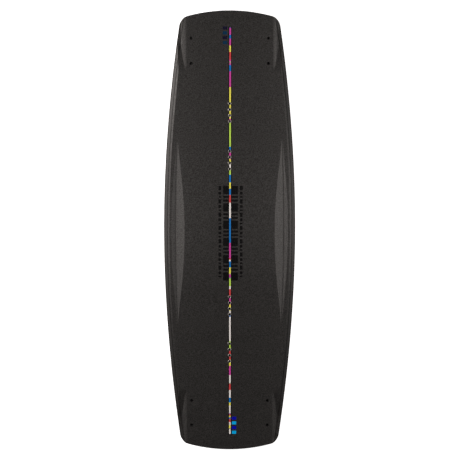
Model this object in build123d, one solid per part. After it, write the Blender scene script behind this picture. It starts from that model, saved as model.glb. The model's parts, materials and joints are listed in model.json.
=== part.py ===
from build123d import *
import math
import os

# Twin-tip wakeboard, bare deck.  Millimetres, +Y towards the nose, +X to the right of
# a rider looking at the nose, +Z up.  The origin is the middle of the flat of the base.

# ---- overall size
LENGTH = 1410.0
WIDTH = 425.0
THICKNESS = 32.0
TIP_THICKNESS = 12.0

# ---- plan outline: one long arc for each side, one for each tip, rounded corners
SIDE_SAG = 60.0
TIP_SAG = 24.0
TIP_CORNER_RADIUS = 40.0

# ---- rocker: a flat, then one arc up to each tip
BASE_FLAT = 180.0
BASE_TIP_RISE = 60.0
DECK_FLAT = 200.0

# ---- skins, from the deck down and from the base up
TOPSHEET_THICK = 0.5
LAMINATE_THICK = 0.8
BASE_SHEET_THICK = 0.8

# ---- edges
RAIL_WIDTH = 11.0
RAIL_END_FROM_TIP = 185.0
RAIL_BEVEL_WIDTH = 18.0
RAIL_BEVEL_DROP = 9.0
RAIL_BEVEL_FADE_FROM_TIP = 190.0
RAIL_BEVEL_END_FROM_TIP = 78.0
EDGE_BREAK_WIDTH = 2.4
EDGE_BREAK_DROP = 4.0
BASE_BEVEL_WIDTH = 14.0
BASE_BEVEL_RISE = 3.0
CORE_END_FROM_TIP = 50.0
CORE_CORNER_RADIUS = 30.0

# ---- scooped groove beside each rail
GROOVE_HALF_LENGTH = 297.0
GROOVE_DEPTH = 7.0
GROOVE_BOW = 7.0
GROOVE_FROM_EDGE = 36.0
GROOVE_FLOOR_WIDTH = 3.0
GROOVE_OUTER_WIDTH = 12.0
GROOVE_INNER_WIDTH = 28.0

# ---- lowered ledge at each corner of the deck, and the rolled edge above it
LEDGE_DEPTH = 4.75
LEDGE_START_FROM_TIP = 190.0
LEDGE_FULL_FROM_TIP = 105.0
ROLL_FROM_EDGE = 75.5
ROLL_RADIUS = 38.0

# ---- how far all the holes for bindings and fins are set back towards the tail
SETBACK = 4.0

# ---- binding inserts: two groups of four for each foot, on the centre line
INSERT_PITCH = 19.05
INSERTS_PER_GROUP = 4
INNER_GROUP_Y = 236.0
OUTER_GROUP_Y = 388.4
INSERT_RADIUS = 5.0
INSERT_LENGTH = 15.0
INSERT_FLANGE_RADIUS = 8.0
INSERT_FLANGE_THICK = 2.0
THREAD_RADIUS = 2.5
THREAD_DEPTH = 12.0

# ---- plates in the core that hold the inserts
PAD_THICK = 6.0
PAD_WIDTH = 50.0
PAD_MARGIN = 18.0

# ---- fin bolt holes: a pair near each corner, square to the base
FIN_BOLT_SPACING = 79.0
FIN_FROM_TIP = 118.5
FIN_FROM_EDGE = 89.5
SLEEVE_RADIUS = 4.6
SLEEVE_BORE_RADIUS = 3.5
FIN_BLOCK_WIDTH = 36.0
FIN_BLOCK_MARGIN = 22.0

# ---- reach of the cutting shapes past the board
MARGIN = 40.0
FAR = 150.0

HALF_LENGTH = LENGTH / 2
HALF_WIDTH = WIDTH / 2
BEVEL_SLOPE = RAIL_BEVEL_DROP / RAIL_BEVEL_WIDTH
BREAK_SLOPE = EDGE_BREAK_DROP / EDGE_BREAK_WIDTH
BASE_SLOPE = BASE_BEVEL_RISE / BASE_BEVEL_WIDTH
ABOVE_CORE = TOPSHEET_THICK + LAMINATE_THICK
BELOW_CORE = BASE_SHEET_THICK + LAMINATE_THICK


def arc_radius(run, rise):
    """Radius of an arc that starts level and climbs rise over run."""
    return (run ** 2 + rise ** 2) / (2 * rise)


DECK_TIP_RISE = BASE_TIP_RISE + TIP_THICKNESS - THICKNESS
BASE_RADIUS = arc_radius(HALF_LENGTH - BASE_FLAT, BASE_TIP_RISE)
DECK_RADIUS = arc_radius(HALF_LENGTH - DECK_FLAT, DECK_TIP_RISE)
SIDE_RADIUS = arc_radius(HALF_LENGTH, SIDE_SAG)
TIP_RADIUS = arc_radius(HALF_WIDTH - SIDE_SAG, TIP_SAG)


def climb(y, flat, radius):
    """Height gained at y by a rocker line that is level up to flat."""
    run = max(0.0, abs(y) - flat)
    return radius - math.sqrt(radius ** 2 - run ** 2)


def base_z(y):
    return climb(y, BASE_FLAT, BASE_RADIUS)


def deck_z(y):
    return THICKNESS + climb(y, DECK_FLAT, DECK_RADIUS)


def half_width(y):
    """Half of the outline's width at y, before its corners are rounded."""
    return HALF_WIDTH - climb(y, 0, SIDE_RADIUS)


def tip_reach(x):
    """How far the tip's edge is from the middle at x, before its corners are rounded."""
    return HALF_LENGTH - climb(x, 0, TIP_RADIUS)


def profile(height, flat):
    """Edges of a rocker line in the middle plane, from past one tip to past the other."""
    end = HALF_LENGTH + MARGIN
    mid = (flat + end) / 2
    tail = [(0, y, height(y)) for y in (-end, -mid, -flat)]
    nose = [(0, y, height(y)) for y in (flat, mid, end)]
    return [ThreePointArc(*tail), Line(tail[2], nose[0]), ThreePointArc(*nose)]


def curved(height, end, spans=8):
    """A smooth line in the middle plane whose height is a function of y."""
    stations = [end * i / spans for i in range(-spans, spans + 1)]
    return [Spline([(0, y, height(y)) for y in stations])]


def closed_to(edges, z):
    """Face between a line in the middle plane and the level z."""
    start = edges[0] @ 0
    end = edges[-1] @ 1
    low_start = (0, start.Y, z)
    low_end = (0, end.Y, z)
    sides = [Line(end, low_end), Line(low_end, low_start), Line(low_start, start)]
    return Face(Wire(edges + sides))


def both_sides(shape):
    return [shape, mirror(shape, about=Plane.YZ)]


def four_corners(shape):
    pair = both_sides(shape)
    return pair + [mirror(one, about=Plane.XZ) for one in pair]


# ---- plan shapes

def outline(inset=0.0, tip_inset=0.0, corner=TIP_CORNER_RADIUS):
    """The board seen from above, drawn in by inset at the sides and tip_inset at the tips."""
    end_y = tip_reach(HALF_WIDTH - SIDE_SAG) - tip_inset
    corner_x = half_width(end_y) - inset
    tip_y = HALF_LENGTH - tip_inset
    wide = HALF_WIDTH - inset
    edges = [
        ThreePointArc((corner_x, -end_y), (wide, 0), (corner_x, end_y)),
        ThreePointArc((corner_x, end_y), (0, tip_y), (-corner_x, end_y)),
        ThreePointArc((-corner_x, end_y), (-wide, 0), (-corner_x, -end_y)),
        ThreePointArc((-corner_x, -end_y), (0, -tip_y), (corner_x, -end_y)),
    ]
    face = make_face(edges)
    return fillet(face.vertices(), corner)


def prism(face):
    """A plan shape as an upright block that runs through the whole board."""
    return extrude(Pos(0, 0, -MARGIN) * face, amount=FAR + MARGIN)


def strip(y_low, y_high):
    """The part of the plan between two stations."""
    middle = (y_low + y_high) / 2
    return Pos(0, middle) * Rectangle(WIDTH + 2 * MARGIN, y_high - y_low)


# ---- slopes along the edges: each is a line in the middle plane, swept out and down or up

def deck_edge_cutter(line, slope, end):
    """Everything over a slope that falls outwards to the right of the middle plane."""
    face = closed_to(curved(line, end), FAR + WIDTH + LENGTH)
    return extrude(face, amount=WIDTH + LENGTH, dir=(1, 0, -slope))


def base_edge_cutter(line, slope, end):
    """Everything under a slope that rises outwards to the right of the middle plane."""
    face = closed_to(curved(line, end), -FAR - WIDTH - LENGTH)
    return extrude(face, amount=WIDTH + LENGTH, dir=(1, 0, slope))


def turned_to_tips(cutter):
    nose = Rot(0, 0, 90) * cutter
    return [nose, mirror(nose, about=Plane.XZ)]


def rail_drop(y):
    """Depth of the top of the rail's side wall under the deck line."""
    fade = HALF_LENGTH - RAIL_BEVEL_FADE_FROM_TIP
    gone = HALF_LENGTH - RAIL_BEVEL_END_FROM_TIP
    share = max(0.0, (abs(y) - fade) / (gone - fade))
    return RAIL_BEVEL_DROP + share * (LEDGE_DEPTH - RAIL_BEVEL_DROP)


def deck_edge_cutters():
    """The sloped bevel along each rail, and the broken edge all round."""

    def bevel(y):
        return deck_z(y) - rail_drop(y) + half_width(y) * BEVEL_SLOPE

    def side_break(y):
        start = half_width(y) - EDGE_BREAK_WIDTH
        start_z = deck_z(y) - rail_drop(y) + EDGE_BREAK_WIDTH * BEVEL_SLOPE
        return start_z + start * BREAK_SLOPE

    def tip_break(x):
        return deck_z(HALF_LENGTH) + (tip_reach(x) - EDGE_BREAK_WIDTH) * BREAK_SLOPE

    end = HALF_LENGTH + MARGIN
    cutters = both_sides(deck_edge_cutter(bevel, BEVEL_SLOPE, end))
    cutters += both_sides(deck_edge_cutter(side_break, BREAK_SLOPE, end))
    return cutters + turned_to_tips(deck_edge_cutter(tip_break, BREAK_SLOPE, HALF_WIDTH))


def base_edge_cutters():
    """The tucked-under bevel of the base along the rails and tips."""

    def rail_line(y):
        return base_z(y) + BASE_BEVEL_RISE - half_width(y) * BASE_SLOPE

    def tip_line(x):
        return base_z(HALF_LENGTH) + EDGE_BREAK_WIDTH - tip_reach(x)

    cutters = both_sides(base_edge_cutter(rail_line, BASE_SLOPE, HALF_LENGTH + MARGIN))
    return cutters + turned_to_tips(base_edge_cutter(tip_line, 1, HALF_WIDTH))


# ---- the deck surface, as the block of everything under it

def groove_cutter():
    """The long scoop beside the right rail, turned about a far axis that leans over the deck."""
    foot = Vector(HALF_WIDTH - GROOVE_FROM_EDGE, 0, THICKNESS - GROOVE_DEPTH)
    inner_foot = foot - Vector(GROOVE_FLOOR_WIDTH, 0, 0)
    outer_top = foot + Vector(GROOVE_OUTER_WIDTH, 0, GROOVE_DEPTH) * 2
    inner_top = inner_foot + Vector(-GROOVE_INNER_WIDTH, 0, GROOVE_DEPTH) * 2
    section = make_face(Polyline(foot, outer_top, inner_top, inner_foot, close=True))

    rise = deck_z(GROOVE_HALF_LENGTH) - foot.Z
    sag = math.hypot(GROOVE_BOW, rise)
    radius = arc_radius(GROOVE_HALF_LENGTH, sag)
    to_axis = Vector(-GROOVE_BOW / sag, 0, rise / sag)
    axis = Axis(foot + to_axis * radius, (to_axis.Z, 0, -to_axis.X))
    turn = math.degrees(math.asin((GROOVE_HALF_LENGTH + MARGIN) / radius))
    return revolve(section.rotate(axis, -turn), axis, 2 * turn)


def ledge_cutter():
    """The lowered ledge of the right nose corner, under the rolled edge of the raised tip."""
    roll_x = HALF_WIDTH - ROLL_FROM_EDGE
    top = THICKNESS
    steepest = math.radians(50)
    roll_end = Vector(roll_x + ROLL_RADIUS * math.sin(steepest), DECK_FLAT,
                      top - ROLL_RADIUS * (1 - math.cos(steepest)))
    half = steepest / 2
    roll_mid = Vector(roll_x + ROLL_RADIUS * math.sin(half), DECK_FLAT,
                      top - ROLL_RADIUS * (1 - math.cos(half)))
    start = Vector(roll_x, DECK_FLAT, top)
    out_x = HALF_WIDTH + MARGIN
    out_low = Vector(out_x, DECK_FLAT, roll_end.Z)
    out_high = Vector(out_x, DECK_FLAT, top + ROLL_RADIUS)
    over = Vector(roll_x, DECK_FLAT, top + ROLL_RADIUS)
    section = Face(Wire([
        ThreePointArc(start, roll_mid, roll_end), Line(roll_end, out_low),
        Line(out_low, out_high), Line(out_high, over), Line(over, start),
    ]))
    axis = Axis((0, DECK_FLAT, top + DECK_RADIUS), (1, 0, 0))
    turn = math.degrees(math.asin((HALF_LENGTH + MARGIN - DECK_FLAT) / DECK_RADIUS))
    roll = revolve(section, axis, turn)

    begin = HALF_LENGTH - LEDGE_START_FROM_TIP
    full = HALF_LENGTH - LEDGE_FULL_FROM_TIP
    end = HALF_LENGTH + MARGIN
    middle = (full + end) / 2
    floor = [
        Line((0, begin, deck_z(begin)), (0, full, deck_z(full) - LEDGE_DEPTH)),
        ThreePointArc(*[(0, y, deck_z(y) - LEDGE_DEPTH) for y in (full, middle, end)]),
    ]
    over_floor = extrude(closed_to(floor, FAR), amount=WIDTH, dir=(1, 0, 0))
    return roll & over_floor


def under_deck():
    """The block of everything below the deck surface, wider and longer than the board."""
    face = closed_to(profile(deck_z, DECK_FLAT), -FAR)
    block = extrude(face, amount=HALF_WIDTH + MARGIN, both=True, dir=(1, 0, 0))
    cutters = deck_edge_cutters() + both_sides(groove_cutter())
    for cutter in cutters + four_corners(ledge_cutter()):
        block -= cutter
    return block


def over_base():
    """The block of everything above the base surface, with its bevelled edges."""
    face = closed_to(profile(base_z, BASE_FLAT), FAR)
    block = extrude(face, amount=HALF_WIDTH + MARGIN, both=True, dir=(1, 0, 0))
    for cutter in base_edge_cutters():
        block -= cutter
    return block


def lowered(block, distance):
    return Pos(0, 0, -distance) * block


# ---- hardware

def insert_stations(group_y):
    first = group_y - INSERT_PITCH * (INSERTS_PER_GROUP - 1) / 2
    return [first + INSERT_PITCH * i for i in range(INSERTS_PER_GROUP)]


def upright(radius, y, z_low, z_high):
    """An upright round bar on the centre line."""
    return Pos(0, y, (z_low + z_high) / 2) * Cylinder(radius, z_high - z_low)


def insert_body(y, deck, pad_floor):
    """One flanged insert without its thread, cut flush with the deck."""
    top = deck_z(y)
    barrel = upright(INSERT_RADIUS, y, top - INSERT_LENGTH, top + MARGIN) & deck
    flange_low = top - ABOVE_CORE - PAD_THICK - INSERT_FLANGE_THICK
    flange = upright(INSERT_FLANGE_RADIUS, y, flange_low, top + MARGIN) & pad_floor
    return barrel + flange


def thread_bore(y):
    top = deck_z(y)
    return upright(THREAD_RADIUS, y, top - THREAD_DEPTH, top + MARGIN)


def fin_place(side, end):
    """Place whose Z is square to the base in the middle of one pair of fin bolts."""
    y = end * (HALF_LENGTH - FIN_FROM_TIP) - SETBACK
    lean = math.degrees(math.asin((abs(y) - BASE_FLAT) / BASE_RADIUS))
    x = HALF_WIDTH - FIN_FROM_EDGE
    return Pos(side * x, y, base_z(y)) * Rot(end * lean, 0, 0)


def fin_bars(radius, side, end):
    """The pair of bars that fill one pair of fin bolt holes."""
    place = fin_place(side, end)
    half = FIN_BOLT_SPACING / 2
    return [place * Pos(0, y, 0) * Cylinder(radius, 2 * MARGIN) for y in (-half, half)]


# ---- build

os.makedirs("parts", exist_ok=True)
nodes = {}

deck = under_deck()
base = over_base()
under_topsheet = lowered(deck, TOPSHEET_THICK)
core_top = lowered(deck, ABOVE_CORE)
pad_floor = lowered(deck, ABOVE_CORE + PAD_THICK)
laminate_floor = lowered(base, -BASE_SHEET_THICK)
core_floor = lowered(base, -BELOW_CORE)

full = outline()
rail_end = HALF_LENGTH - RAIL_END_FROM_TIP
rail_plan = (full - outline(RAIL_WIDTH, 0)) & strip(-rail_end, rail_end)
skin_plan = full - rail_plan
core_plan = outline(RAIL_WIDTH, CORE_END_FROM_TIP, CORE_CORNER_RADIUS)
tip_plan = full - core_plan - strip(-rail_end, rail_end)

PLACES = [(side, end) for end in (1, -1) for side in (-1, 1)]
END_NAMES = {1: "nose", -1: "tail"}
SIDE_NAMES = {-1: "left", 1: "right"}

sleeve_bars = {place: fin_bars(SLEEVE_RADIUS, *place) for place in PLACES}
all_sleeve_bars = [bar for pair in sleeve_bars.values() for bar in pair]

groups = {
    "nose_outer": OUTER_GROUP_Y - SETBACK,
    "nose_inner": INNER_GROUP_Y - SETBACK,
    "tail_inner": -INNER_GROUP_Y - SETBACK,
    "tail_outer": -OUTER_GROUP_Y - SETBACK,
}
insert_bodies = {}
for name, group_y in groups.items():
    insert_bodies[name] = [insert_body(y, deck, pad_floor) for y in insert_stations(group_y)]
all_inserts = [body for group in insert_bodies.values() for body in group]

holes_through = all_sleeve_bars + all_inserts
nodes["topsheet"] = (prism(skin_plan) & deck) - under_topsheet - holes_through
nodes["top_laminate"] = (prism(skin_plan) & under_topsheet) - core_top - holes_through
nodes["base_sheet"] = (prism(full) & base) - laminate_floor - all_sleeve_bars
nodes["bottom_laminate"] = (prism(skin_plan) & laminate_floor) - core_floor - all_sleeve_bars

core_block = prism(core_plan) & core_top & core_floor
pads = {}
for name, group_y in groups.items():
    pad_length = INSERT_PITCH * (INSERTS_PER_GROUP - 1) + 2 * PAD_MARGIN
    block = Pos(0, group_y, deck_z(group_y)) * Box(PAD_WIDTH, pad_length, 2 * MARGIN)
    pads[name] = (block & core_top) - pad_floor

fin_blocks = {}
for side, end in PLACES:
    block_length = FIN_BOLT_SPACING + 2 * FIN_BLOCK_MARGIN
    block = fin_place(side, end) * Box(FIN_BLOCK_WIDTH, block_length, 4 * MARGIN)
    fin_blocks[(side, end)] = block & core_block

nodes["foam_core"] = core_block - list(pads.values()) - list(fin_blocks.values()) - all_inserts

rails = prism(rail_plan) & deck & laminate_floor
for rail in rails.solids():
    nodes["left_rail" if rail.center().X < 0 else "right_rail"] = rail

tips = prism(tip_plan) & core_top & core_floor
for tip in tips.solids():
    nodes["nose_tip_fill" if tip.center().Y > 0 else "tail_tip_fill"] = tip

for name, pad in pads.items():
    nodes[name + "_pad"] = pad - insert_bodies[name]
    threads = [thread_bore(y) for y in insert_stations(groups[name])]
    bodies = [body - bore for body, bore in zip(insert_bodies[name], threads)]
    nodes[name + "_inserts"] = Compound(children=[s for b in bodies for s in b.solids()])

for side, end in PLACES:
    name = END_NAMES[end] + "_" + SIDE_NAMES[side] + "_fin"
    bars = sleeve_bars[(side, end)]
    nodes[name + "_block"] = fin_blocks[(side, end)] - bars
    bores = fin_bars(SLEEVE_BORE_RADIUS, side, end)
    sleeves = [(bar & deck & base) - bore for bar, bore in zip(bars, bores)]
    nodes[name + "_sleeves"] = Compound(children=[s for b in sleeves for s in b.solids()])

for name, shape in nodes.items():
    export_step(shape, "parts/" + name + ".step")
    print(name, round(shape.volume / 1000, 2), "cm3")
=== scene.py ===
"""Finishes, prints and fittings of a bare twin-tip wakeboard, built round its CAD frame."""
import json
import math
import random

import bmesh
import bpy
from bpy.props import FloatProperty, FloatVectorProperty, PointerProperty
from mathutils import Matrix, Vector
from mathutils.bvhtree import BVHTree


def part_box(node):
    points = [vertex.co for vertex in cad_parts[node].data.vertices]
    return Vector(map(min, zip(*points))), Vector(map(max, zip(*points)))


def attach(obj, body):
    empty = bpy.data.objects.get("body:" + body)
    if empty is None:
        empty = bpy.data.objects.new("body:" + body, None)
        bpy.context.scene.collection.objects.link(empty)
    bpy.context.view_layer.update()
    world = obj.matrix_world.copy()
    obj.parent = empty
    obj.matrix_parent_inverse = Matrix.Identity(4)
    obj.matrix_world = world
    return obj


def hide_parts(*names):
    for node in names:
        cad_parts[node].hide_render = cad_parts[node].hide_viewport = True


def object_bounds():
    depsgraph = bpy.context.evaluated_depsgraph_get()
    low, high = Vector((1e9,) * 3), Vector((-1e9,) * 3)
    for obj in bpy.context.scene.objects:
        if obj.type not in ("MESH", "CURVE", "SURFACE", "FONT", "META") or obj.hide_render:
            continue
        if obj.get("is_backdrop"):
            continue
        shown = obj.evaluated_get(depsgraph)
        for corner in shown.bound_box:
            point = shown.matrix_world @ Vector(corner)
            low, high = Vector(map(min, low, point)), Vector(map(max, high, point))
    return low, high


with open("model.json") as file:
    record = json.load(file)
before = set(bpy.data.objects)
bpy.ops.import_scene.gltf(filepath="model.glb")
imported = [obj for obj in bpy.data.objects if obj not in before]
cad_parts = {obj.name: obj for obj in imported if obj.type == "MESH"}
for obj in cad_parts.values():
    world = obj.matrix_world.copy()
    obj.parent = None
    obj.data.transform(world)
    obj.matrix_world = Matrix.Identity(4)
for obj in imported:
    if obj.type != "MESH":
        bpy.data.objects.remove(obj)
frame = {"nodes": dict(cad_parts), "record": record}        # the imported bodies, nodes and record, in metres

CAD_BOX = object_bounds()

bl_info = {
    "name": "Wakeboard finishes",
    "version": (1, 0, 0),
    "blender": (4, 5, 0),
    "location": "View3D > Sidebar > Wakeboard",
    "description": "Skins, printed stripe and marks, binding inserts and fin bolt sleeves",
    "category": "Object",
}

MM = 0.001
BODY = "root"
NODES = frame["nodes"]
MOUNTS = frame["record"]["mounts"]

# ---- the board, read from its CAD nodes
RAIL_LOW, RAIL_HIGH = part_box("right_rail")
HALF_WIDTH = RAIL_HIGH.x
HALF_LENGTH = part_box("topsheet")[1].y
RAIL_WIDTH = 11 * MM
SIDE_TUCK = HALF_WIDTH - (RAIL_LOW.x + RAIL_WIDTH)
SIDE_RADIUS = (RAIL_HIGH.y ** 2 + SIDE_TUCK ** 2) / (2 * SIDE_TUCK)
INSERT_GROUPS = ("nose_outer", "nose_inner", "tail_inner", "tail_outer")
INSERTS_PER_GROUP = 4
INSERT_RADIUS = 5.0 * MM
INSERT_LENGTH = 15.0 * MM
INSERT_FLANGE_TOP = -7.4 * MM
SLEEVE_RADIUS = 4.6 * MM

# ---- how far each print stands over and under the deck surface, and its longest straight piece
STRIPE_LIFT = 0.10 * MM
EDGE_LIFT = 0.05 * MM
COLUMN_LIFT = 0.03 * MM
MARK_LIFT = 0.04 * MM
ROW_LENGTH = 12 * MM

# ---- printed stripe, from the nose down: how many short runs, then the ink and length in
# millimetres of the long run after them
LONG_RUNS = (
    (12, "magenta", 50), (0, "yellow", 100), (1, "lime", 80), (10, "white", 50),
    (0, "blue", 80), (0, "magenta", 50), (14, "white", 80), (0, "lime", 30),
    (0, "red", 30), (1, "magenta", 30),
)
MAIN_INKS = ("yellow", "lime", "red", "magenta", "blue", "white")
ACCENT_INKS = ("violet", "teal", "orange", "pink", "grey")
SHORT_RUNS = (5, 10, 15, 20, 25)
ACCENT_RUN = 3
ACCENT_SHARE = 0.2
STRIPE_SEED = 1


# ---- sizes and colours that a user would change

def length(name, description, millimetres):
    return FloatProperty(name=name, description=description, default=millimetres * MM,
                         unit="LENGTH", precision=5)


def colour(name, description, rgb):
    return FloatVectorProperty(name=name, description=description, default=rgb,
                               subtype="COLOR", size=3, min=0.0, max=1.0)


class WakeboardSkins(bpy.types.PropertyGroup):
    """Finishes of the moulded board."""
    topsheet_dark: colour("Topsheet low", "Darkest tone of the topsheet grain", (0.0040, 0.0036, 0.0033))
    topsheet_pale: colour("Topsheet high", "Palest tone of the topsheet grain", (0.0100, 0.0091, 0.0084))
    rail: colour("Rail", "Cast urethane of the rails and tips", (0.0080, 0.0073, 0.0068))
    base: colour("Base", "Gloss sheet under the board", (0.0075, 0.0075, 0.0080))
    grain: length("Grain size", "Spacing of the topsheet grain", 2.8)


class WakeboardStripe(bpy.types.PropertyGroup):
    """Printed stripe down the deck."""
    width: length("Width", "Width of the coloured stripe", 5.2)
    offset: length("Offset", "Centre of the stripe to the right of the inserts", 1.3)
    edge: length("Edge line", "Width of the black line on each side", 2.5)
    nose_end: length("Nose end", "Where the stripe starts, from the middle of the board", 652.0)
    tail_end: length("Tail end", "Where the stripe stops, from the middle of the board", 655.0)
    insert_gap: length("Insert gap", "Half of the break in the stripe at each insert", 3.4)
    yellow: colour("Yellow", "Ink", (0.93, 0.86, 0.105))
    lime: colour("Lime", "Ink", (0.52, 0.80, 0.095))
    red: colour("Red", "Ink", (0.66, 0.060, 0.065))
    magenta: colour("Magenta", "Ink", (0.66, 0.060, 0.39))
    blue: colour("Blue", "Ink", (0.002, 0.19, 0.60))
    white: colour("White", "Ink", (0.93, 0.90, 0.88))
    violet: colour("Violet", "Ink", (0.20, 0.08, 0.42))
    teal: colour("Teal", "Ink", (0.02, 0.30, 0.36))
    orange: colour("Orange", "Ink", (0.66, 0.26, 0.05))
    pink: colour("Pink", "Ink", (0.62, 0.22, 0.26))
    grey: colour("Grey", "Ink", (0.38, 0.38, 0.28))


class WakeboardMarks(bpy.types.PropertyGroup):
    """Plain printed marks on the deck."""
    film: colour("Gloss film", "Clear-coated black of the middle column", (0.0030, 0.0030, 0.0032))
    navy: colour("Navy", "First ink of the nose mark", (0.004, 0.003, 0.022))
    steel_blue: colour("Steel blue", "Second ink of the nose mark", (0.002, 0.030, 0.075))
    royal: colour("Royal blue", "First ink of the tail mark", (0.001, 0.003, 0.42))
    azure: colour("Azure", "Second ink of the tail mark", (0.001, 0.46, 0.93))


class WakeboardFittings(bpy.types.PropertyGroup):
    """Binding inserts and fin bolt sleeves."""
    steel: colour("Insert steel", "Turned stainless steel", (0.58, 0.56, 0.53))
    nylon: colour("Sleeve", "Black nylon of the fin bolt sleeves", (0.0030, 0.0030, 0.0030))
    lip: length("Insert lip", "Height of the inserts over the deck", 0.25)
    pitch: length("Thread pitch", "Pitch of the thread in the inserts", 1.0)
    sink: length("Countersink", "Depth of the countersink of the sleeves", 0.6)


class WakeboardStage(bpy.types.PropertyGroup):
    """Floor, lights and camera."""
    floor: colour("Floor", "Colour of the floor", (0.86, 0.86, 0.86))
    distance: length("Camera distance", "From the lens to the deck", 4000.0)
    field: length("Field", "Height of the view at the deck", 1486.0)


# ---- meshes

def mesh_piece(name, bm, materials, replaced=(), sharp=35):
    """Turn a finished bmesh into a piece that rides on the board."""
    bmesh.ops.recalc_face_normals(bm, faces=bm.faces)
    mesh = bpy.data.meshes.new(name)
    bm.to_mesh(mesh)
    bm.free()
    for material in materials:
        mesh.materials.append(material)
    mesh.shade_smooth()
    mesh.set_sharp_from_angle(angle=math.radians(sharp))
    piece = bpy.data.objects.new(name, mesh)
    bpy.context.scene.collection.objects.link(piece)
    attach(piece, BODY)
    if replaced:
        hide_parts(*replaced)
    return piece


def surface_tree(names):
    """A search tree over the surfaces of some CAD nodes."""
    points, faces = [], []
    for name in names:
        mesh = NODES[name].data
        start = len(points)
        points += [vertex.co.copy() for vertex in mesh.vertices]
        faces += [[start + index for index in face.vertices] for face in mesh.polygons]
    return BVHTree.FromPolygons(points, faces)


def deck_height(tree, x, y):
    """Height of the deck straight under a point of the plan."""
    hit = tree.ray_cast(Vector((x, y, 1.0)), Vector((0, 0, -1)))[0]
    if hit is None:
        raise RuntimeError(f"no deck under {x:.4f}, {y:.4f}")
    return hit.z


def film(bm, tree, plan, lift, slot=0, rows=1, corner=0.0):
    """A thin printed layer over the rectangle (x0, x1, y0, y1), its top lifted off the deck."""
    x0, x1, y0, y1 = plan
    place = Matrix.Translation(((x0 + x1) / 2, (y0 + y1) / 2, 0))
    size = Matrix.Diagonal(((x1 - x0) / 2, (y1 - y0) / 2, 1, 1))
    before = set(bm.verts)
    grid = bmesh.ops.create_grid(bm, x_segments=1, y_segments=rows, size=1, matrix=place @ size)
    if corner:
        bmesh.ops.bevel(bm, geom=grid["verts"], affect="VERTICES", offset=corner, segments=5,
                        profile=0.5, material=-1)
    verts = [vert for vert in bm.verts if vert not in before]
    faces = list({face for vert in verts for face in vert.link_faces})
    for vert in verts:
        vert.co.z = deck_height(tree, vert.co.x, vert.co.y) - lift
    raised = bmesh.ops.extrude_face_region(bm, geom=faces, use_keep_orig=True)["geom"]
    tops = [part for part in raised if isinstance(part, bmesh.types.BMVert)]
    bmesh.ops.translate(bm, verts=tops, vec=(0, 0, 2 * lift))
    shell = {face for vert in verts + tops for face in vert.link_faces}
    for face in shell:
        face.material_index = slot


def lathe(bm, profile, place, steps, closed=False, inner=0.0):
    """Spin (radius, height) points round the Z axis of a place; faces within inner get slot 1."""
    verts = [bm.verts.new((radius, 0, height)) for radius, height in profile]
    pairs = list(zip(verts, verts[1:]))
    if closed:
        pairs.append((verts[-1], verts[0]))
    edges = [bm.edges.new(pair) for pair in pairs]
    before = set(bm.verts) - set(verts)
    bmesh.ops.spin(bm, geom=verts + edges, cent=(0, 0, 0), axis=(0, 0, 1),
                   angle=2 * math.pi, steps=steps, use_merge=True)
    turned = [vert for vert in bm.verts if vert not in before]
    for face in {face for vert in turned for face in vert.link_faces}:
        if max(vert.co.xy.length for vert in face.verts) < inner:
            face.material_index = 1
    bmesh.ops.transform(bm, matrix=place, verts=turned)
    bmesh.ops.remove_doubles(bm, verts=turned, dist=0.001 * MM)


# ---- shader nodes

def add(tree, kind, inputs=(), **settings):
    """A new node: its settings, and each input as a value or as another node's output."""
    node = tree.nodes.new(kind)
    for name, value in settings.items():
        setattr(node, name, value)
    for key, value in dict(inputs).items():
        if isinstance(value, bpy.types.NodeSocket):
            tree.links.new(value, node.inputs[key])
        else:
            node.inputs[key].default_value = value
    return node


def calculate(tree, operation, *values, clamp=False):
    node = add(tree, "ShaderNodeMath", dict(enumerate(values)), operation=operation, use_clamp=clamp)
    return node.outputs[0]


def object_place(tree):
    return add(tree, "ShaderNodeTexCoord").outputs["Object"]


def noise(tree, vector, scale, detail=2.0, rough=0.5):
    inputs = {"Vector": vector, "Scale": scale, "Detail": detail, "Roughness": rough}
    return add(tree, "ShaderNodeTexNoise", inputs).outputs["Fac"]


def stretch(tree, vector, scale, turn=0.0):
    inputs = {"Vector": vector, "Scale": scale, "Rotation": (0, 0, turn)}
    return add(tree, "ShaderNodeMapping", inputs).outputs["Vector"]


def remap(tree, value, low, high, to_low=0.0, to_high=1.0):
    inputs = {"Value": value, "From Min": low, "From Max": high, "To Min": to_low, "To Max": to_high}
    return add(tree, "ShaderNodeMapRange", inputs, interpolation_type="SMOOTHSTEP").outputs["Result"]


def blend(tree, share, first, second):
    """Mix two colours, each an RGB value or a socket."""
    values = {0: share}
    for index, value in ((6, first), (7, second)):
        values[index] = value if isinstance(value, bpy.types.NodeSocket) else (*value[:3], 1.0)
    return add(tree, "ShaderNodeMix", values, data_type="RGBA").outputs[2]


def effect(name, inputs, outputs):
    """An empty node group of numbers: (group, its inputs, its outputs)."""
    group = bpy.data.node_groups.new(name, "ShaderNodeTree")
    for label, value in inputs:
        socket = group.interface.new_socket(label, in_out="INPUT", socket_type="NodeSocketFloat")
        socket.default_value = value
    for label in outputs:
        group.interface.new_socket(label, in_out="OUTPUT", socket_type="NodeSocketFloat")
    return group, group.nodes.new("NodeGroupInput").outputs, group.nodes.new("NodeGroupOutput").inputs


def once(build):
    """Build a node group the first time that it is asked for."""
    def get():
        name = build.__name__.replace("_", " ")
        return bpy.data.node_groups.get(name) or build(name)
    return get


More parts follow.
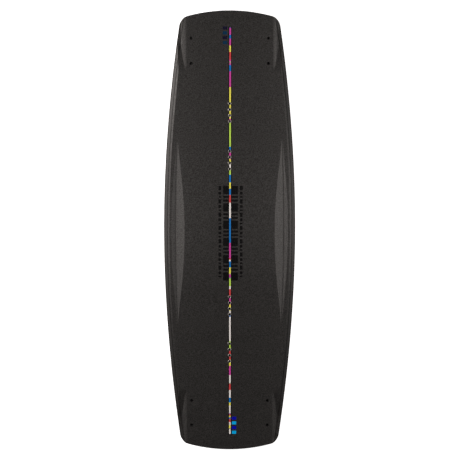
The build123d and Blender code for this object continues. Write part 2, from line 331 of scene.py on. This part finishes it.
@once
def fine_grain(name):
    """Moulded grain: a shade from 0 to 1, and its height."""
    group, given, out = effect(name, [("Size", 3 * MM)], ["Shade", "Height"])
    place = object_place(group)
    scale = calculate(group, "DIVIDE", 1.0, given["Size"])
    coarse = noise(group, place, scale, detail=3.0, rough=0.62)
    fine = noise(group, place, calculate(group, "MULTIPLY", scale, 3.7), detail=2.0, rough=0.6)
    mixed = calculate(group, "ADD", calculate(group, "MULTIPLY", coarse, 0.6),
                      calculate(group, "MULTIPLY", fine, 0.4))
    group.links.new(remap(group, mixed, 0.34, 0.66), out["Shade"])
    group.links.new(remap(group, fine, 0.3, 0.7), out["Height"])
    return group


@once
def side_distance(name):
    """Distance in from the board's side edge, in metres, at any point of the plan."""
    group, _, out = effect(name, [], ["Distance"])
    split = add(group, "ShaderNodeSeparateXYZ", {"Vector": object_place(group)}).outputs
    squared = calculate(group, "MULTIPLY", split["Y"], split["Y"])
    leg = calculate(group, "SQRT", calculate(group, "SUBTRACT", SIDE_RADIUS ** 2, squared))
    half_width = calculate(group, "ADD", leg, HALF_WIDTH - SIDE_RADIUS)
    across = calculate(group, "ABSOLUTE", split["X"])
    group.links.new(calculate(group, "SUBTRACT", half_width, across), out["Distance"])
    return group


@once
def hairlines(name):
    """Sparse fine scratches, mostly along the board: 1 on a scratch."""
    group, given, out = effect(name, [("Amount", 0.5)], ["Mask"])
    place = object_place(group)
    masks = []
    for turn, across, along in ((0.10, 900, 7), (-0.22, 700, 11), (1.10, 600, 16)):
        streaks = noise(group, stretch(group, place, (across, along, along), turn), 1.0, detail=1.0)
        patches = noise(group, stretch(group, place, (13, 9, 9), turn), 1.0, detail=1.0)
        line = remap(group, streaks, 0.735, 0.80)
        masks.append(calculate(group, "MULTIPLY", line, remap(group, patches, 0.50, 0.68)))
    both = calculate(group, "MAXIMUM", masks[0], masks[1])
    every = calculate(group, "MAXIMUM", both, masks[2])
    group.links.new(calculate(group, "MULTIPLY", every, given["Amount"]), out["Mask"])
    return group


@once
def glass_weave(name):
    """Plain weave of glass rovings: a shade from 0 to 1."""
    group, given, out = effect(name, [("Pitch", 1.6 * MM)], ["Shade"])
    split = add(group, "ShaderNodeSeparateXYZ", {"Vector": object_place(group)}).outputs
    turns = calculate(group, "DIVIDE", math.pi, given["Pitch"])
    warp = calculate(group, "SINE", calculate(group, "MULTIPLY", split["X"], turns))
    weft = calculate(group, "SINE", calculate(group, "MULTIPLY", split["Y"], turns))
    crossed = calculate(group, "MULTIPLY", warp, weft)
    group.links.new(remap(group, crossed, -0.6, 0.6), out["Shade"])
    return group


@once
def foam_cells(name):
    """Closed foam cells: 0 in a cell, 1 on its wall."""
    group, given, out = effect(name, [("Size", 1.2 * MM)], ["Wall"])
    scale = calculate(group, "DIVIDE", 1.0, given["Size"])
    cells = add(group, "ShaderNodeTexVoronoi", {"Vector": object_place(group), "Scale": scale},
                feature="DISTANCE_TO_EDGE").outputs["Distance"]
    group.links.new(remap(group, cells, 0.16, 0.02), out["Wall"])
    return group


def use(tree, group, **inputs):
    node = tree.nodes.new("ShaderNodeGroup")
    node.node_tree = group()
    for key, value in inputs.items():
        node.inputs[key].default_value = value
    return node.outputs


def shader(name, **values):
    """A new material and its node tree, with fixed values on the Principled shader."""
    material = bpy.data.materials.new(name)
    material.use_nodes = True
    surface = material.node_tree.nodes["Principled BSDF"].inputs
    for key, value in values.items():
        surface[key.replace("_", " ")].default_value = value
    return material, material.node_tree, surface


def bump(tree, surface, height, depth, strength=1.0):
    inputs = {"Height": height, "Distance": depth, "Strength": strength}
    node = add(tree, "ShaderNodeBump", inputs)
    tree.links.new(node.outputs["Normal"], surface["Normal"])


def sheen(tree, inward, level):
    """Specular level, dulled along the joint of topsheet and rail and on the broken outer edge."""
    away = calculate(tree, "ABSOLUTE", calculate(tree, "SUBTRACT", inward, RAIL_WIDTH))
    joint = remap(tree, away, 0.7 * MM, 2.2 * MM, 0.35, 1.0)
    edge = remap(tree, inward, 1.2 * MM, 3.4 * MM, 0.12, 1.0)
    return calculate(tree, "MULTIPLY", level, calculate(tree, "MULTIPLY", joint, edge))


def satin_topsheet(settings):
    """Satin black sheet with a fine grain and a few scratches."""
    material, tree, surface = shader("Satin topsheet", IOR=1.5)
    grain = use(tree, fine_grain, Size=settings.grain)
    scratch = use(tree, hairlines, Amount=0.5)["Mask"]
    inward = use(tree, side_distance)["Distance"]
    tone = blend(tree, grain["Shade"], settings.topsheet_dark, settings.topsheet_pale)
    tone = blend(tree, calculate(tree, "MULTIPLY", scratch, 0.35), tone, (0.05, 0.05, 0.05))
    tree.links.new(tone, surface["Base Color"])
    dull = remap(tree, grain["Shade"], 0.0, 1.0, 0.30, 0.38)
    tree.links.new(dull, surface["Roughness"])
    glint = remap(tree, grain["Shade"], 0.0, 1.0, 0.30, 0.72)
    tree.links.new(sheen(tree, inward, glint), surface["Specular IOR Level"])
    bump(tree, surface, grain["Height"], 0.03 * MM, 0.6)
    return material


def cast_urethane(name, settings, along=True):
    """Cast black urethane with fine sanding lines and a dull outer corner."""
    material, tree, surface = shader(name, IOR=1.5)
    grain = use(tree, fine_grain, Size=1.2 * MM)
    inward = use(tree, side_distance)["Distance"]
    place = object_place(tree)
    lines = noise(tree, stretch(tree, place, (2500, 14, 2500) if along else (14, 2500, 2500)), 1.0)
    dark = tuple(0.72 * part for part in settings.rail)
    tone = blend(tree, grain["Shade"], dark, settings.rail)
    tree.links.new(tone, surface["Base Color"])
    tree.links.new(remap(tree, lines, 0.3, 0.7, 0.36, 0.46), surface["Roughness"])
    tree.links.new(sheen(tree, inward, 0.5), surface["Specular IOR Level"])
    bump(tree, surface, lines, 0.02 * MM, 0.5)
    return material


def gloss_base(settings):
    """Polished black sheet with fine wear along the board."""
    material, tree, surface = shader("Gloss base", IOR=1.5, Coat_Roughness=0.08)
    scratch = use(tree, hairlines, Amount=1.0)["Mask"]
    ripple = noise(tree, object_place(tree), 60.0, detail=1.0)
    tone = blend(tree, calculate(tree, "MULTIPLY", scratch, 0.5), settings.base, (0.045, 0.045, 0.048))
    tree.links.new(tone, surface["Base Color"])
    tree.links.new(remap(tree, scratch, 0.0, 1.0, 0.17, 0.42), surface["Roughness"])
    tree.links.new(remap(tree, scratch, 0.0, 1.0, 0.5, 0.0), surface["Coat Weight"])
    bump(tree, surface, ripple, 0.12 * MM, 0.35)
    return material


def glass_plate(name, dark, pale, pitch):
    """Glass-fibre plate or laminate: resin with the weave showing through."""
    material, tree, surface = shader(name, IOR=1.54)
    weave = use(tree, glass_weave, Pitch=pitch)["Shade"]
    tree.links.new(blend(tree, weave, dark, pale), surface["Base Color"])
    tree.links.new(remap(tree, weave, 0.0, 1.0, 0.22, 0.36), surface["Roughness"])
    bump(tree, surface, weave, 0.03 * MM)
    return material


def rigid_foam(name, dark, pale, size):
    """Closed-cell foam with its cells cut open."""
    material, tree, surface = shader(name, IOR=1.45)
    wall = use(tree, foam_cells, Size=size)["Wall"]
    tree.links.new(blend(tree, wall, dark, pale), surface["Base Color"])
    tree.links.new(remap(tree, wall, 0.0, 1.0, 0.95, 0.72), surface["Roughness"])
    bump(tree, surface, wall, 0.25 * MM)
    return material


def ink(name, rgb, rough=0.20):
    """Printed ink: a little uneven in tone, over the grain of the sheet."""
    material, tree, surface = shader(name + " ink", IOR=1.5)
    grain = use(tree, fine_grain, Size=1.6 * MM)
    deeper = tuple(0.86 * part for part in rgb)
    tree.links.new(blend(tree, grain["Shade"], deeper, rgb), surface["Base Color"])
    tree.links.new(remap(tree, grain["Shade"], 0.0, 1.0, rough, rough + 0.08), surface["Roughness"])
    bump(tree, surface, grain["Height"], 0.015 * MM, 0.5)
    return material


def gloss_film(settings):
    """Black print under a clear gloss coat."""
    material, tree, surface = shader("Gloss film", IOR=1.45)
    grain = use(tree, fine_grain, Size=1.6 * MM)
    deeper = tuple(0.7 * part for part in settings.film)
    tree.links.new(blend(tree, grain["Shade"], deeper, settings.film), surface["Base Color"])
    tree.links.new(remap(tree, grain["Shade"], 0.0, 1.0, 0.12, 0.20), surface["Roughness"])
    bump(tree, surface, grain["Height"], 0.01 * MM, 0.4)
    return material


def turned_steel(settings):
    """Turned stainless steel; down in the thread the inserts take a second material, painted dark as shade.
    """
    material, tree, surface = shader("Turned steel", Metallic=1.0)
    grain = use(tree, fine_grain, Size=0.5 * MM)
    darker = tuple(0.72 * part for part in settings.steel)
    tree.links.new(blend(tree, grain["Shade"], darker, settings.steel), surface["Base Color"])
    tree.links.new(remap(tree, grain["Shade"], 0.0, 1.0, 0.26, 0.40), surface["Roughness"])
    bump(tree, surface, grain["Height"], 0.01 * MM, 0.5)
    return material


def painted_shade_thread(settings):
    """Steel of the thread, painted near-black as the shade that falls down in the bore."""
    material, tree, surface = shader("Thread in painted shade", IOR=1.5, Specular_IOR_Level=0.25)
    grain = use(tree, fine_grain, Size=0.5 * MM)
    # painted shade: the thread steel is made near-black where the bore lies in shade
    dark = tuple(0.010 * part for part in settings.steel)
    pale = tuple(0.045 * part for part in settings.steel)
    tree.links.new(blend(tree, grain["Shade"], dark, pale), surface["Base Color"])
    tree.links.new(remap(tree, grain["Shade"], 0.0, 1.0, 0.40, 0.60), surface["Roughness"])
    bump(tree, surface, grain["Height"], 0.02 * MM, 0.5)
    return material


def black_nylon(settings):
    """Moulded black nylon with a dull, slightly mottled face."""
    material, tree, surface = shader("Black nylon", Specular_IOR_Level=0.05)
    grain = use(tree, fine_grain, Size=0.6 * MM)
    pale = tuple(1.8 * part for part in settings.nylon)
    tree.links.new(blend(tree, grain["Shade"], settings.nylon, pale), surface["Base Color"])
    tree.links.new(remap(tree, grain["Shade"], 0.0, 1.0, 0.45, 0.58), surface["Roughness"])
    bump(tree, surface, grain["Height"], 0.02 * MM, 0.5)
    return material


def finish_node(name, material):
    """Give a CAD node its finish."""
    node = NODES[name]
    if not node.material_slots:
        node.data.materials.append(None)
    for slot in node.material_slots:
        slot.link = "OBJECT"
        slot.material = material


# ---- operators, one for each piece or group of like pieces

class WAKEBOARD_OT_skins(bpy.types.Operator):
    """Finish the moulded board: sheets, laminates, rails, tips, core, pads and fin blocks"""
    bl_idname = "wakeboard.skins"
    bl_label = "Skins and core"

    def execute(self, context):
        settings = context.scene.wakeboard_skins
        finish_node("topsheet", satin_topsheet(settings))
        finish_node("base_sheet", gloss_base(settings))
        rail = cast_urethane("Rail urethane", settings)
        tip = cast_urethane("Tip urethane", settings, along=False)
        laminate = glass_plate("Black laminate", (0.010, 0.011, 0.010), (0.028, 0.030, 0.026), 1.6 * MM)
        pad = glass_plate("Insert pad plate", (0.42, 0.38, 0.20), (0.60, 0.55, 0.33), 1.2 * MM)
        block = rigid_foam("Dense foam", (0.50, 0.41, 0.27), (0.66, 0.56, 0.40), 0.5 * MM)
        core = rigid_foam("Core foam", (0.66, 0.59, 0.43), (0.84, 0.78, 0.62), 1.2 * MM)
        for name in NODES:
            if name.endswith("_rail"):
                finish_node(name, rail)
            elif name.endswith("_tip_fill"):
                finish_node(name, tip)
            elif name.endswith("_laminate"):
                finish_node(name, laminate)
            elif name.endswith("_pad"):
                finish_node(name, pad)
            elif name.endswith("_fin_block"):
                finish_node(name, block)
        finish_node("foam_core", core)
        return {"FINISHED"}


def insert_centres(group):
    """Where the inserts of one group stand along the board, from the box of their CAD node."""
    low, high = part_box(group + "_inserts")
    flange = (high.x - low.x) / 2
    step = (high.y - low.y - 2 * flange) / (INSERTS_PER_GROUP - 1)
    return [low.y + flange + step * index for index in range(INSERTS_PER_GROUP)]


def whole_deck():
    return surface_tree(["topsheet"] + [group + "_inserts" for group in INSERT_GROUPS])


def without_gaps(start, end, gaps):
    """The stretches of a run that lie outside the gaps, from its nose end to its tail end."""
    stretches = []
    for low, high in sorted(gaps, reverse=True):
        if end < high and low < start:
            stretches.append((start, high))
            start = low
    stretches.append((start, end))
    return [(top, bottom) for top, bottom in stretches if top - bottom > 0.2 * MM]


def short_run(draw, last):
    """A short run in a main ink, or now and then a thin one in an accent ink."""
    thin = draw.random() < ACCENT_SHARE
    inks = ACCENT_INKS if thin else MAIN_INKS
    name = draw.choice([name for name in inks if name != last])
    return name, ACCENT_RUN if thin else draw.choice(SHORT_RUNS)


def stripe_runs(reach):
    """Ink, nose end and tail end of each run, measured from the start of the stripe."""
    draw = random.Random(STRIPE_SEED)
    runs = []
    for short, name, run in LONG_RUNS:
        for _ in range(short):
            runs.append(short_run(draw, runs[-1][0] if runs else name))
        runs.append((name, run))
    while sum(run for _, run in runs) * MM < reach:
        runs.append(short_run(draw, runs[-1][0]))
    start = 0.0
    for name, run in runs:
        end = min(start + run * MM, reach)
        if end > start:
            yield name, start, end
        start = end


class WAKEBOARD_OT_stripe(bpy.types.Operator):
    """Print the many-coloured stripe and its black edge lines down the deck"""
    bl_idname = "wakeboard.stripe"
    bl_label = "Centre stripe"

    def execute(self, context):
        settings = context.scene.wakeboard_stripe
        tree = whole_deck()
        gap = settings.insert_gap
        gaps = [(y - gap, y + gap) for group in INSERT_GROUPS for y in insert_centres(group)]
        names = MAIN_INKS + ACCENT_INKS
        left = settings.offset - settings.width / 2
        right = settings.offset + settings.width / 2
        stripe = bmesh.new()
        nose, tail = settings.nose_end, -settings.tail_end
        for name, start, end in stripe_runs(nose - tail):
            for top, bottom in without_gaps(nose - start, nose - end, gaps):
                rows = max(1, round((top - bottom) / ROW_LENGTH))
                film(stripe, tree, (left, right, bottom, top), STRIPE_LIFT, names.index(name), rows)
        inks = [ink(name.capitalize(), getattr(settings, name)) for name in names]
        mesh_piece("centre_stripe", stripe, inks)

        edges = bmesh.new()
        start, end = nose + settings.edge, tail - settings.edge
        lap = 0.3 * MM
        for x0, x1, breaks in ((left - settings.edge, left + lap, gaps),
                               (right - lap, right + settings.edge, [])):
            for top, bottom in without_gaps(start, end, breaks):
                rows = max(1, round((top - bottom) / ROW_LENGTH))
                film(edges, tree, (x0, x1, bottom, top), EDGE_LIFT, rows=rows)
        mesh_piece("stripe_edges", edges, [ink("Black", (0.0010, 0.0010, 0.0012), 0.12)])
        return {"FINISHED"}


class WAKEBOARD_OT_marks(bpy.types.Operator):
    """Print the gloss black column amidships and the small blue marks at nose and tail"""
    bl_idname = "wakeboard.marks"
    bl_label = "Printed marks"

    wide_bars = 6
    wide, thin, space = 27.0, 7.0, 5.0
    top = 149.0
    rungs = 4
    rung, rung_width = 10.0, 14.0

    def column(self, tree):
        """Six wide bars with two thin ones between each, and a row of dashes on each side."""
        bm = bmesh.new()
        y = self.top
        for index in range(self.wide_bars):
            sizes = [self.wide] + ([self.thin, self.thin] if index < self.wide_bars - 1 else [])
            for size in sizes:
                plan = [part * MM for part in (-21, 27, y - size, y)]
                film(bm, tree, plan, COLUMN_LIFT, corner=2.5 * MM)
                y -= size + self.space
        for x0, x1 in ((-36, -27), (33, 42)):
            y = self.top
            while y > self.top - 300:
                for size in (14, 9, 5):
                    plan = [part * MM for part in (x0, x1, y - size, y)]
                    film(bm, tree, plan, COLUMN_LIFT, corner=1.6 * MM)
                    y -= size + self.space
        return bm

    def ladder(self, tree, left, top):
        """Equal bars one under another, in two inks by turns."""
        bm = bmesh.new()
        for index in range(self.rungs):
            plan = [part * MM for part in (left, left + self.rung_width, top - self.rung, top)]
            film(bm, tree, plan, MARK_LIFT, index % 2, corner=1 * MM)
            top -= self.rung + self.space
        return bm

    def execute(self, context):
        settings = context.scene.wakeboard_marks
        tree = whole_deck()
        mesh_piece("middle_column", self.column(tree), [gloss_film(settings)])

        inks = [ink("Navy", settings.navy, 0.12), ink("Steel blue", settings.steel_blue, 0.12)]
        mesh_piece("nose_mark", self.ladder(tree, -22, 655), inks)

        inks = [ink("Royal blue", settings.royal, 0.12), ink("Azure", settings.azure, 0.12)]
        mesh_piece("tail_mark", self.ladder(tree, 8, -600), inks)
        return {"FINISHED"}


def insert_profile(settings, flange, bore, mouth):
    """Half section of a binding insert, from the bottom of its bore out to its foot, deck at 0."""
    lip, reach, bottom, flange_top = settings.lip, INSERT_RADIUS, INSERT_LENGTH, INSERT_FLANGE_TOP
    root = bore + 0.55 * settings.pitch
    points = [(0, -bottom + 2.5 * MM), (0.5 * bore, -bottom + 3.0 * MM), (root, -bottom + 3.4 * MM)]
    z = -bottom + 4.0 * MM
    while z < lip - 1.6 * settings.pitch:
        points += [(root, z), (bore, z + 0.40 * settings.pitch), (bore, z + 0.55 * settings.pitch)]
        z += settings.pitch
    points += [(root, z), (mouth, lip - 0.12 * MM), (mouth + 0.12 * MM, lip)]
    points += [(reach - 0.35 * MM, lip), (reach - 0.12 * MM, lip - 0.06 * MM), (reach, lip - 0.2 * MM)]
    points += [(reach, flange_top), (flange - 0.3 * MM, flange_top), (flange, flange_top - 0.3 * MM)]
    points += [(flange, -bottom + 0.3 * MM), (flange - 0.3 * MM, -bottom), (0, -bottom)]
    return points


class WAKEBOARD_OT_inserts(bpy.types.Operator):
    """Turn the sixteen threaded binding inserts"""
    bl_idname = "wakeboard.inserts"
    bl_label = "Binding inserts"

    def execute(self, context):
        settings = context.scene.wakeboard_fittings
        materials = [turned_steel(settings), painted_shade_thread(settings)]
        tree = whole_deck()
        bore = next(m["dims"]["hole_r_mm"] for m in MOUNTS if "binding" in m["name"]) * MM
        for group in INSERT_GROUPS:
            low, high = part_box(group + "_inserts")
            flange = (high.x - low.x) / 2
            bm = bmesh.new()
            for y in insert_centres(group):
                ring = (INSERT_RADIUS + bore) / 2
                deck = (deck_height(tree, ring, y) + deck_height(tree, -ring, y)) / 2
                mouth = bore + 1.3 * MM
                profile = insert_profile(settings, flange, bore, mouth)
                slope = (deck_height(tree, 0, y + ring) - deck_height(tree, 0, y - ring)) / (2 * ring)
                place = Matrix.Translation((0, y, deck)) @ Matrix.Rotation(math.atan(slope), 4, "X")
                # faces inside the mouth, down in the bore, get slot 1: the thread material painted dark as
                # shade
                lathe(bm, profile, place, steps=32, inner=mouth + 0.05 * MM)
            mesh_piece(group + "_threaded_inserts", bm, materials, [group + "_inserts"])
        return {"FINISHED"}


class WAKEBOARD_OT_sleeves(bpy.types.Operator):
    """Mould the fin bolt sleeves, square to the base, with a chamfered mouth"""
    bl_idname = "wakeboard.sleeves"
    bl_label = "Fin bolt sleeves"

    def execute(self, context):
        settings = context.scene.wakeboard_fittings
        material = black_nylon(settings)
        outer = SLEEVE_RADIUS
        for mount in MOUNTS:
            if not mount["name"].endswith("_fin_bolts"):
                continue
            node = mount["name"].replace("_bolts", "_sleeves")
            axis = Vector(mount["axis"]).normalized()
            along = axis.cross(Vector((1, 0, 0)))
            bore = mount["dims"]["hole_r_mm"] * MM
            half = mount["dims"]["pcd_mm"] * MM / 2
            bm = bmesh.new()
            for side in (-1, 1):
                centre = Vector(mount["pos_m"]) + side * half * along
                offsets = [vertex.co - centre for vertex in NODES[node].data.vertices]
                heights = [part.dot(axis) for part in offsets if part.dot(along) * side > -half]
                top, foot = max(heights) + 0.1 * MM, min(heights)
                rim = bore + settings.sink
                profile = [
                    (bore, foot + 0.3 * MM), (bore, top - settings.sink), (rim, top - 0.15 * MM),
                    (rim + 0.1 * MM, top), (outer - 0.1 * MM, top), (outer, top - 0.15 * MM),
                    (outer, foot), (bore + 0.3 * MM, foot),
                ]
                turn = Matrix((Vector((1, 0, 0)), along, axis)).transposed()
                place = Matrix.Translation(centre) @ turn.to_4x4()
                lathe(bm, profile, place, steps=40, closed=True)
            name = node.replace("_sleeves", "_countersunk_sleeves")
            mesh_piece(name, bm, [material], [node])
        return {"FINISHED"}


# ---- stage

# soft boxes on an arch across the board, the same on both sides: degrees down from overhead,
# and power in watts
ARCH_RADIUS = 2.0
ARCH_BOXES = {"high": (18, 3.0), "middle": (34, 6.0), "low": (68, 7.0)}
# and one strong box, low on the left and nearer the nose
KEY_NOSE = 1.0
KEY_POWER = 40.0
SOFT_BOX = 0.8
LIGHT_COLOUR = (1.0, 0.93, 0.89)
AMBIENT = 0.03           # brightness of the world overhead
HORIZON = 0.45           # and of its band near the horizon
FLOOR_GLOW = 0.95


def on_arch(side, tilt, y=0.0):
    """A place on the arch, in metres over the middle of the base."""
    tilt = math.radians(tilt)
    return side * ARCH_RADIUS * math.sin(tilt), y, ARCH_RADIUS * math.cos(tilt)


def soft_light(name, place, power):
    """A square soft box that faces the part of the board beside it."""
    light = bpy.data.lights.new(name, "AREA")
    light.shape = "SQUARE"
    light.size = SOFT_BOX
    light.color = LIGHT_COLOUR
    light.energy = power
    lamp = bpy.data.objects.new(name, light)
    lamp.location = place
    aim = Vector((0, 0.6 * place[1], 0))
    lamp.rotation_euler = (aim - lamp.location).to_track_quat("-Z", "Y").to_euler()
    bpy.context.scene.collection.objects.link(lamp)


def light_arch():
    """Three soft boxes on each side of the board, and the strong one beside its nose."""
    for side, x in (("left", -1), ("right", 1)):
        for height, (tilt, power) in ARCH_BOXES.items():
            soft_light(f"{side}_{height}", on_arch(x, tilt), power)
    lowest = max(tilt for tilt, _ in ARCH_BOXES.values())
    soft_light("left_key", on_arch(-1, lowest, KEY_NOSE), KEY_POWER)


def pale_floor(rgb):
    """A wide pale floor, lit from inside like a light table except under the board, where the camera sees a
    painted shadow.
    """
    bm = bmesh.new()
    bmesh.ops.create_grid(bm, x_segments=1, y_segments=1, size=12)
    bmesh.ops.translate(bm, verts=bm.verts, vec=(0, 0, -0.5 * MM))
    mesh = bpy.data.meshes.new("floor")
    bm.to_mesh(mesh)
    bm.free()
    material, tree, surface = shader("Pale floor", Roughness=0.9)
    surface["Specular IOR Level"].default_value = 0.0
    mottle = noise(tree, object_place(tree), 3.0, detail=3.0)
    paler = tuple(min(1.0, 1.03 * part) for part in rgb)
    seen = add(tree, "ShaderNodeLightPath").outputs["Is Camera Ray"]
    inward = use(tree, side_distance)["Distance"]
    along = add(tree, "ShaderNodeSeparateXYZ", {"Vector": object_place(tree)}).outputs["Y"]
    # mask of the painted shadow under the board, fading out over the last 60 mm to each tip and the last 25
    # mm to each side
    past_tip = remap(tree, calculate(tree, "ABSOLUTE", along), HALF_LENGTH - 60 * MM, HALF_LENGTH)
    past_side = remap(tree, inward, 25 * MM, 0.0)
    clear = calculate(tree, "MAXIMUM", past_tip, past_side)
    lit = calculate(tree, "MULTIPLY", seen, clear)
    paper = blend(tree, mottle, rgb, paler)
    # painted shadow: under the board the camera sees near-black 0.01 and no glow, while all other rays see a
    # grey of 0.22 everywhere
    shade = blend(tree, seen, (0.22, 0.22, 0.22), (0.01, 0.01, 0.01))
    tree.links.new(blend(tree, lit, shade, paper), surface["Base Color"])
    tree.links.new(calculate(tree, "MULTIPLY", lit, FLOOR_GLOW), surface["Emission Strength"])
    surface["Emission Color"].default_value = (1, 1, 1, 1)
    mesh.materials.append(material)
    floor = bpy.data.objects.new("floor", mesh)
    bpy.context.scene.collection.objects.link(floor)
    floor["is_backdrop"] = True


def ambient_light(strength, horizon):
    """Faint light from above, a paler band near the horizon, and a white backdrop."""
    world = bpy.data.worlds.new("Studio")
    bpy.context.scene.world = world
    world.use_nodes = True
    tree = world.node_tree
    seen = add(tree, "ShaderNodeLightPath").outputs["Is Camera Ray"]
    background = tree.nodes["Background"].inputs
    background["Color"].default_value = (1, 1, 1, 1)
    toward = add(tree, "ShaderNodeTexCoord").outputs["Generated"]
    height = add(tree, "ShaderNodeSeparateXYZ", {"Vector": toward}).outputs["Z"]
    unseen = remap(tree, height, 0.55, 0.12, strength, horizon)
    backdrop = add(tree, "ShaderNodeMix", {0: seen, 2: unseen, 3: 1.0}).outputs[0]
    tree.links.new(backdrop, background["Strength"])


def deck_camera(settings):
    """A long lens almost straight over the board, a little towards the nose."""
    lean = math.asin(0.08)
    aim = Vector((1.0 * MM, 6.5 * MM, 32 * MM))
    data = bpy.data.cameras.new("camera")
    data.sensor_width = 36.0
    data.lens = data.sensor_width * settings.distance / settings.field
    data.clip_end = 50.0
    camera = bpy.data.objects.new("camera", data)
    camera.location = aim + settings.distance * Vector((0, math.sin(lean), math.cos(lean)))
    camera.rotation_euler = (-lean, 0, math.radians(0.05))
    bpy.context.scene.collection.objects.link(camera)
    bpy.context.scene.camera = camera


class WAKEBOARD_OT_stage(bpy.types.Operator):
    """Set the floor, the soft lights and the camera"""
    bl_idname = "wakeboard.stage"
    bl_label = "Stage"

    def execute(self, context):
        settings = context.scene.wakeboard_stage
        pale_floor(settings.floor)
        ambient_light(AMBIENT, HORIZON)
        light_arch()
        deck_camera(settings)
        context.scene.view_settings.view_transform = "Standard"
        return {"FINISHED"}


class VIEW3D_PT_wakeboard(bpy.types.Panel):
    """Steps of the wakeboard, in order"""
    bl_label = "Wakeboard"
    bl_space_type = "VIEW_3D"
    bl_region_type = "UI"
    bl_category = "Wakeboard"

    def draw(self, context):
        for operator in OPERATORS:
            self.layout.operator(operator.bl_idname)
        for name in GROUPS:
            settings = getattr(context.scene, name)
            for key in settings.__annotations__:
                self.layout.prop(settings, key)


GROUPS = {
    "wakeboard_skins": WakeboardSkins,
    "wakeboard_stripe": WakeboardStripe,
    "wakeboard_marks": WakeboardMarks,
    "wakeboard_fittings": WakeboardFittings,
    "wakeboard_stage": WakeboardStage,
}
OPERATORS = (
    WAKEBOARD_OT_skins,
    WAKEBOARD_OT_stripe,
    WAKEBOARD_OT_marks,
    WAKEBOARD_OT_inserts,
    WAKEBOARD_OT_sleeves,
    WAKEBOARD_OT_stage,
)


def register():
    for name, settings in GROUPS.items():
        bpy.utils.register_class(settings)
        setattr(bpy.types.Scene, name, PointerProperty(type=settings))
    for kind in OPERATORS + (VIEW3D_PT_wakeboard,):
        bpy.utils.register_class(kind)


def unregister():
    for kind in reversed(OPERATORS + (VIEW3D_PT_wakeboard,)):
        bpy.utils.unregister_class(kind)
    for name, settings in GROUPS.items():
        delattr(bpy.types.Scene, name)
        bpy.utils.unregister_class(settings)


def main():
    register()
    for operator in OPERATORS:
        section, action = operator.bl_idname.split(".")
        getattr(getattr(bpy.ops, section), action)()
    boxes = {"cad": CAD_BOX, "visual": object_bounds()}
    plain = {name: [list(corner) for corner in box] for name, box in boxes.items()}


if __name__ == "__main__":
    main()
